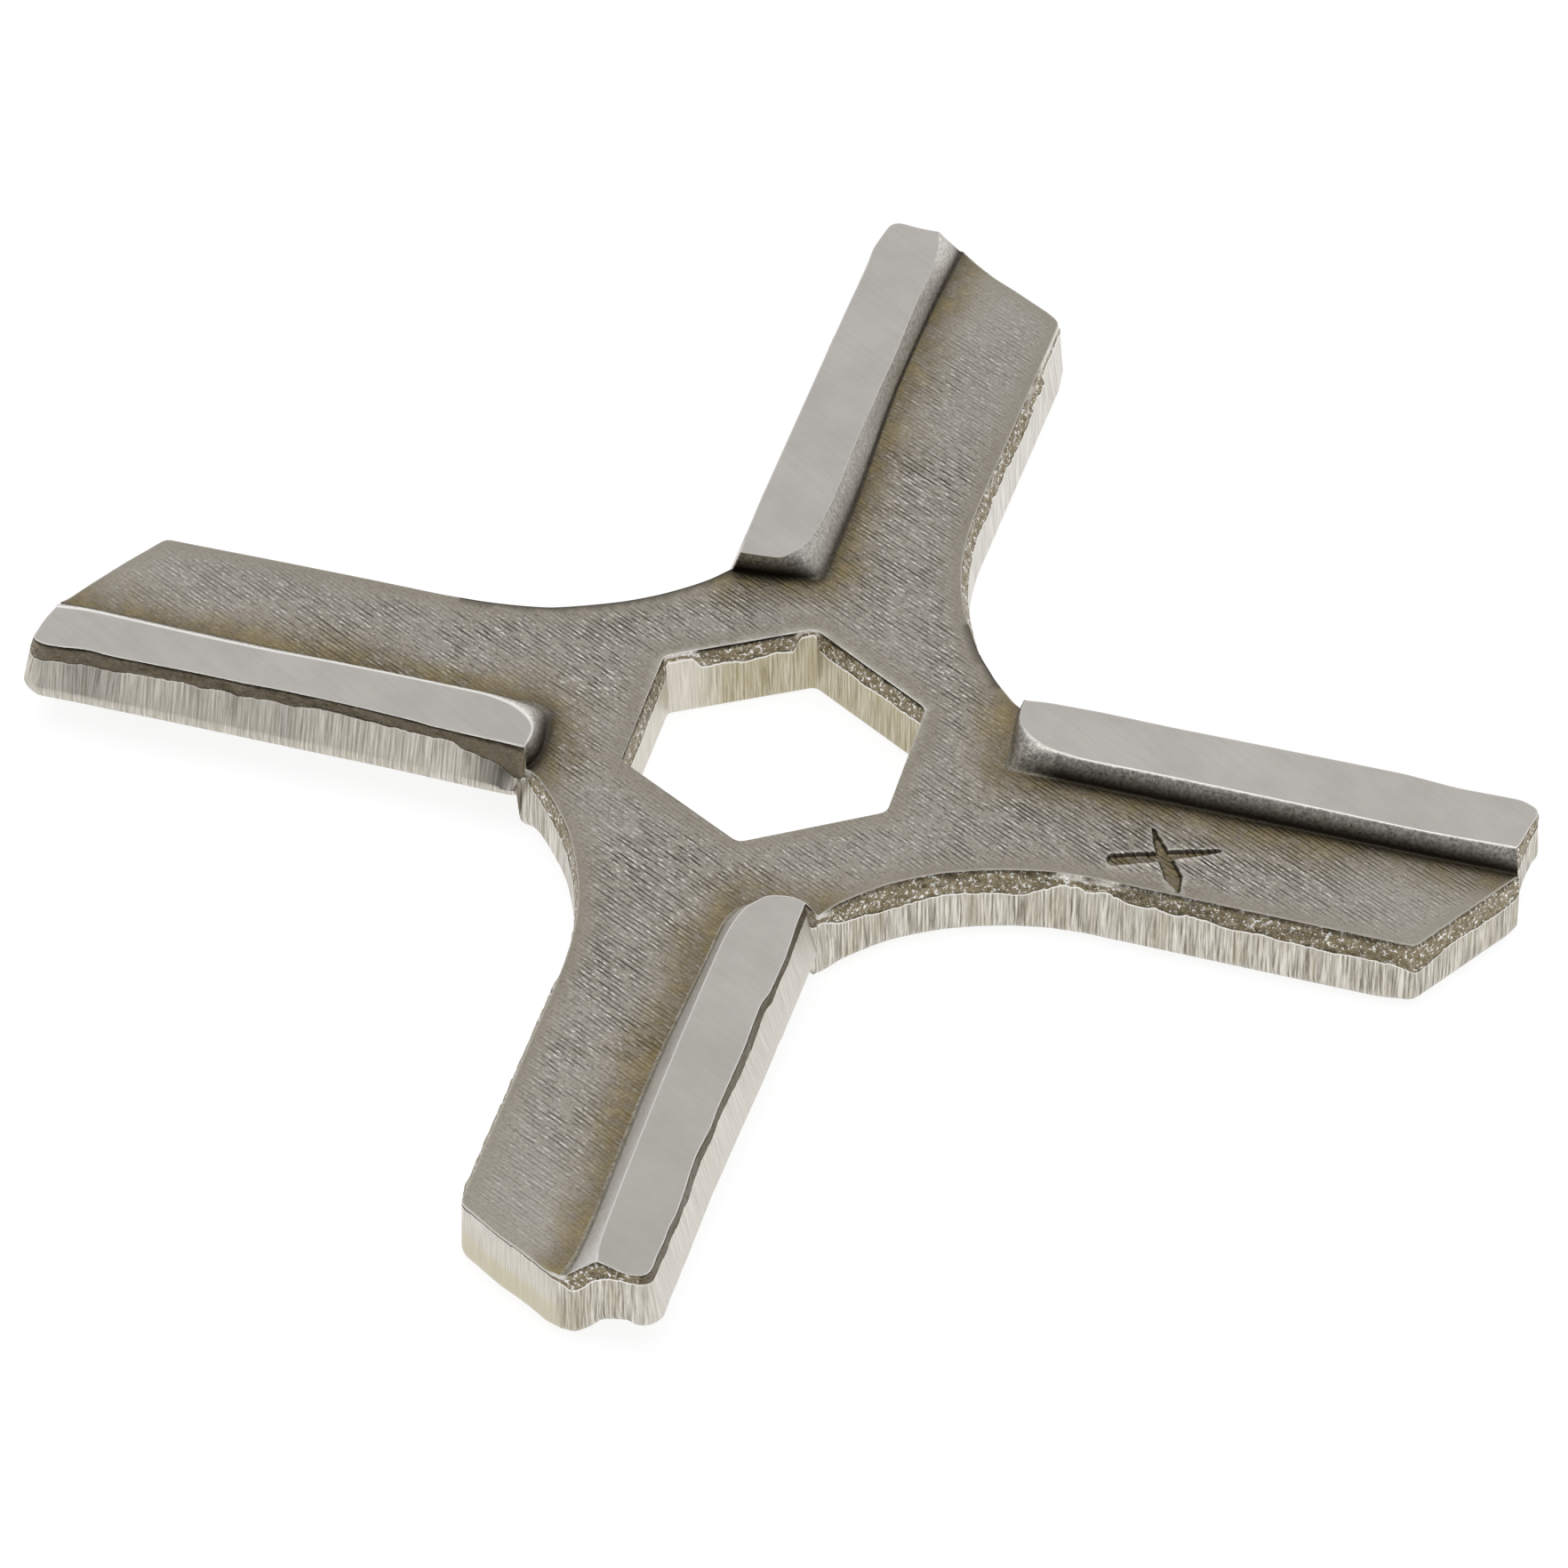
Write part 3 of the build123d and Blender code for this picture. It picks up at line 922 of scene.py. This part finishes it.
class Steel(Nodes):
    """The nodes of one material of bare steel, with places in millimetres."""

    def __init__(self, name):
        self.material = bpy.data.materials.new(name)
        self.material.use_nodes = True
        super().__init__(self.material.node_tree)
        where = self.node("ShaderNodeTexCoord").outputs["Object"]
        self.place = self.vector("SCALE", where, scale=1 / MM)

    def turned(self, angle, stretch=(1, 1, 1)):
        """The place turned about Z and stretched, for grooves and grain."""
        made = self.node("ShaderNodeMapping", {"Vector": self.place}, vector_type="POINT")
        made.inputs["Rotation"].default_value = (0, 0, radians(angle))
        return self.vector("MULTIPLY", made.outputs[0], stretch)

    def finish(self, color, grain, smoothest, roughest, normal):
        """Completes the material, whose roughness follows the grain."""
        roughness = self.spread(grain, 0.3, 0.7, smoothest, roughest)
        inputs = self.tree.nodes["Principled BSDF"].inputs
        inputs["Metallic"].default_value = 1.0
        for name, value in (("Base Color", color), ("Roughness", roughness), ("Normal", normal)):
            self.put(inputs[name], value)
        return self.material


def paint(color):
    """A colour written as in a paint program, as Blender's linear numbers."""
    if not isinstance(color, str):
        return color
    parts = [int(color[i:i + 2], 16) / 255 for i in (0, 2, 4)]
    return (*[p / 12.92 if p <= 0.04045 else ((p + 0.055) / 1.055) ** 2.4 for p in parts], 1)


def plate_material():
    """Ground steel: wavy broken furrows, painted glints between them, stain, painted shade and
    painted highlights.
    """
    n = Steel("plate_ground")
    worn = n.mark("worn")
    grooved = n.turned(GROOVE_ANGLE)
    wander = n.math("MULTIPLY", n.streaks(grooved, (0.25, 1.2, 1)), GROOVE_WANDER)
    line = n.math("SINE", n.math("MULTIPLY_ADD", n.axis(grooved, "Y"),
                                 2 * pi / GROOVE_SPACING, wander))
    broken = n.spread(n.streaks(grooved, (1.3, 5, 1), 3.0, 0.65), 0.42, 0.54)
    glint = n.streaks(grooved, (4, 13, 1), 2.0, 0.7)
    grain = n.noise(n.place, 9.0, 4.0, 0.7)
    pit = n.noise(n.vector("ADD", n.place, (7, 3, 0)), 5.0, 3.0, 0.7)
    cloud = n.noise(n.place, 0.3, 4.0)
    patch = n.noise(n.vector("ADD", n.place, (3, 8, 0)), 1.3, 4.0)
    outer = n.spread(n.vector("LENGTH", n.vector("MULTIPLY", n.place, (1, 1, 0))), 15, 23)
    rubbed = n.times(n.spread(cloud, 0.4, 0.62, 1.0, 0.5), n.math("SUBTRACT", 1.0, worn),
                     n.math("MULTIPLY_ADD", outer, -0.4, 1.0))
    furrow = n.times(n.spread(line, 0.1, 0.9), broken, rubbed)
    stain_tint = n.layers("6b5c39", ("8c7b4d", n.spread(patch, 0.45)))
    color = n.layers(
        "a29c92",
        ("aba59c", n.spread(cloud)),
        ("736d63", n.spread(grain, 0.48, 0.66), 0.6),
        ("38332c", furrow),
        ("4b463d", n.spread(pit, 0.62, 0.7), 0.6),
        # Painted glints on the crests between the furrows.
        ("f4f1ec", n.spread(glint, 0.53, 0.64), rubbed, n.spread(line, 0.3, -0.5), 0.85),
        ("8f8777", worn, 0.45),
        ("bdb8af", outer, 0.3),
        (stain_tint, n.mark("stain"), n.spread(grain, 0.25, 0.6, 0.7),
         n.spread(patch, 0.35, 0.5, 0.65), 0.81),
        # Painted shade.
        ("2c2820", n.mark("soot")),
        # Painted highlight.
        ("e9e5dd", n.mark("shine")))
    normal = n.bump(furrow, -0.025, 0.7, n.bump(glint, 0.015, 0.6, n.bump(grain, 0.018, 0.6)))
    return n.finish(color, grain, 0.32, 0.48, normal)


def rib_material():
    """The ribs' finely ground tops, a little darker towards the front."""
    n = Steel("rib_ground")
    groove = n.noise(n.turned(GROOVE_ANGLE + 4, (0.5, 9, 1)), 1.0)
    grain = n.noise(n.place, 11.0, 3.0, 0.65)
    color = n.layers(
        "c6c2bc",
        ("d0ccc6", n.spread(n.noise(n.place, 0.45, 4.0))),
        (GROOVED, n.spread(groove, 0.4, 0.7), 0.12),
        (GROOVED, n.spread(grain, 0.5, 0.7), 0.12),
        ("a8a49c", n.spread(n.axis(n.place, "Y"), -6, -24, 0, 0.4)),
        # Painted highlight along the edges, then painted shade.
        (BRIGHT, n.mark("shine")),
        ("4a453c", n.mark("soot")))
    return n.finish(color, grain, 0.3, 0.38, n.bump(grain, 0.004, 0.4, n.bump(groove, 0.004, 0.3)))


def slope_material():
    """The ribs' pressed back slopes: grainy, stained low down, with painted shade at the foot and
    painted highlights on the back edge and the slope.
    """
    n = Steel("rib_slope")
    grain = n.noise(n.place, 8.0, 4.0, 0.7)
    streak = n.noise(n.turned(0, (1.2, 1.2, 5)), 1.0)
    color = n.layers(
        "8f8b82",
        ("eeebe4", n.spread(grain)),
        ("efece6", n.spread(n.noise(n.place, 11.0, 2.0, 0.7), 0.56, 0.68), 0.5),
        ("7a6b49", n.mark("stain"), n.spread(streak, 0.25, 0.6, 0.55), 0.8),
        # Painted shade low on the slope, then painted highlight.
        ("2a241b", n.mark("soot")),
        (BRIGHT, n.mark("shine")))
    return n.finish(color, grain, 0.36, 0.52, n.bump(grain, 0.038, 0.7, n.bump(streak, 0.02, 0.3)))


def torn_material():
    """The torn upper part of the wall: brown, with painted glints where it is ragged, painted shade
    lines and painted highlights.
    """
    n = Steel("wall_torn")
    grain = n.noise(n.place, 6.0, 5.0, 0.7)
    coarse = n.noise(n.place, 1.1)
    torn_glint = n.noise(n.place, 7.5, 3.0, 0.75)
    color = n.layers(
        "6e624a",
        ("a1957c", n.spread(grain)),
        ("b5ac9b", n.spread(coarse, 0.55, 0.68), 0.35),
        # Painted glints where the zone is ragged.
        ("fbfaf6", n.spread(torn_glint, 0.55, 0.62), n.math("SUBTRACT", 1.0, n.mark("worn"))),
        ("4f4a42", n.mark("worn"), 0.75),
        # Painted shade, then painted highlight.
        (SHADE_BLACK, n.mark("soot"), 0.9),
        (BRIGHT, n.mark("shine")))
    return n.finish(color, grain, 0.28, 0.5, n.bump(torn_glint, 0.05, 0.7, n.bump(coarse, 0.08, 0.4)))


def burnish_material():
    """The burnished lower part of the wall: upright lines, drawn down by the punch."""
    n = Steel("wall_burnished")
    run = n.node("ShaderNodeCombineXYZ", {"X": n.mark("run"), "Z": n.axis(n.place, "Z")})
    run = run.outputs[0]
    line = n.streaks(run, (13, 0, 0.5), 3.0, 0.65)
    fine = n.streaks(run, (30, 0, 1.2), 2.0)
    color = n.layers(
        "7d7667",
        ("e2ddd2", n.spread(line, 0.36, 0.62)),
        ("a3967b", n.spread(n.streaks(run, (1.6, 0, 0.4)), 0.5, 0.68), 0.4),
        ("faf8f4", n.spread(fine, 0.6, 0.72), 0.5),
        # Lighter where the zone is even and has painted highlight or polish.
        ("beb8ab", n.mark("worn"), n.mark("shine"), 2.4),
        ("b0a478", n.mark("stain"), 0.8),
        # Painted shade, then painted highlight and polish.
        (SHADE_BLACK, n.mark("soot"), 0.9),
        (BRIGHT, n.mark("shine")))
    strength = n.math("MULTIPLY_ADD", n.mark("worn"), -0.4, 0.6)
    normal = n.bump(fine, 0.005, strength, n.bump(line, 0.012, strength))
    return n.finish(color, fine, 0.3, 0.42, normal)


def under_material():
    """The underside: dull, with faint grooves the other way."""
    n = Steel("underside")
    grain = n.noise(n.place, 6.0, 4.0, 0.65)
    groove = n.noise(n.turned(-40, (0.5, 6, 1)), 1.0)
    color = n.layers(
        "9b958a",
        ("b3aea4", n.spread(n.noise(n.place, 0.35, 4.0))),
        ("766f60", n.spread(grain, 0.55, 0.7), 0.5))
    return n.finish(color, grain, 0.36, 0.52, n.bump(groove, 0.01, 0.5, n.bump(grain, 0.01, 0.5)))


knife = make_knife()
for make in (plate_material, rib_material, slope_material, torn_material, burnish_material,
             under_material):
    knife.data.materials.append(make())

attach(knife, "root")
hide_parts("knife")


# ---- floor, light and camera
FLOOR_HALF = 1.2            # metres
BEHIND_LIGHT, HORIZON_LIGHT, OVERHEAD_LIGHT = 0.63, 0.9, 1.3
FRONT_HORIZON, FRONT_LOW, FRONT_HIGH = 0.36, 0.04, 0.5


def make_floor():
    """A pale sheet that gives some light of its own."""
    corners = [(x * FLOOR_HALF, y * FLOOR_HALF, 0) for x, y in ((-1, -1), (1, -1), (1, 1), (-1, 1))]
    mesh = bpy.data.meshes.new("floor")
    mesh.from_pydata(corners, [], [(0, 1, 2, 3)])
    floor = bpy.data.objects.new("floor", mesh)
    bpy.context.scene.collection.objects.link(floor)
    material = bpy.data.materials.new("floor_paper")
    material.use_nodes = True
    shader = material.node_tree.nodes["Principled BSDF"]
    shader.inputs["Base Color"].default_value = (0.2, 0.2, 0.2, 1)
    shader.inputs["Emission Color"].default_value = (1, 1, 1, 1)
    shader.inputs["Emission Strength"].default_value = 0.88
    shader.inputs["Roughness"].default_value = 0.9
    shader.inputs["Specular IOR Level"].default_value = 0.0
    mesh.materials.append(material)


def make_world():
    """A soft tent: bright overhead and low behind, dim at the sides, dark low in front."""
    world = bpy.data.worlds.new("studio")
    bpy.context.scene.world = world
    world.use_nodes = True
    n = Nodes(world.node_tree)

    def curve(value, *stops):
        made = n.node("ShaderNodeValToRGB", {0: value})
        ramp_stops = made.color_ramp.elements
        while len(ramp_stops) < len(stops):
            ramp_stops.new(0.5)
        for stop, (at, grey) in zip(ramp_stops, stops):
            stop.position, stop.color = at, (grey, grey, grey, 1)
        return made.outputs[0]

    where = n.node("ShaderNodeTexCoord").outputs["Generated"]
    height = n.axis(where, "Z")
    depth = n.math("MULTIPLY_ADD", n.axis(where, "Y"), 0.5, 0.5)
    behind = curve(depth, (0.25, 0.0), (0.6, 1.0))
    front = curve(height, (0.02, FRONT_HORIZON), (0.25, FRONT_LOW), (0.35, FRONT_LOW),
                  (0.8, FRONT_HIGH))
    horizon = n.times(curve(depth, (0.86, 0.0), (0.95, HORIZON_LIGHT)),
                      curve(height, (0.1, 1.0), (0.45, 0.0)))
    overhead = n.times(curve(height, (0.8, 0.0), (0.92, 1.0)), OVERHEAD_LIGHT)
    low = n.math("ADD", n.times(behind, BEHIND_LIGHT),
                 n.times(n.math("SUBTRACT", 1.0, behind), front))
    background = n.tree.nodes["Background"]
    n.put(background.inputs["Strength"], n.math("ADD", low, n.math("ADD", horizon, overhead)))
    background.inputs["Color"].default_value = (1, 1, 1, 1)


def make_camera():
    """The photograph's own view: a long lens from the front, a little from the right."""
    azimuth, elevation, roll = radians(17.347), radians(44.78), radians(-0.494)
    distance, aside, upward = 301.58, -0.339, -0.432
    back = Vector((sin(azimuth) * cos(elevation), -cos(azimuth) * cos(elevation), sin(elevation)))
    level = Vector((cos(azimuth), sin(azimuth), 0))
    rise = back.cross(level)
    right = level * cos(roll) + rise * sin(roll)
    up = rise * cos(roll) - level * sin(roll)
    data = bpy.data.cameras.new("camera")
    data.sensor_width, data.lens = 36, 210.08
    data.clip_start, data.clip_end = 0.01, 10
    camera = bpy.data.objects.new("camera", data)
    place = (back * distance - right * aside - up * upward) * MM
    camera.matrix_world = Matrix((
        (right.x, up.x, back.x, place.x), (right.y, up.y, back.y, place.y),
        (right.z, up.z, back.z, place.z), (0, 0, 0, 1)))
    bpy.context.scene.collection.objects.link(camera)
    bpy.context.scene.camera = camera


make_floor()
make_world()
make_camera()
bpy.context.scene.view_settings.view_transform = "Standard"

bpy.context.view_layer.update()
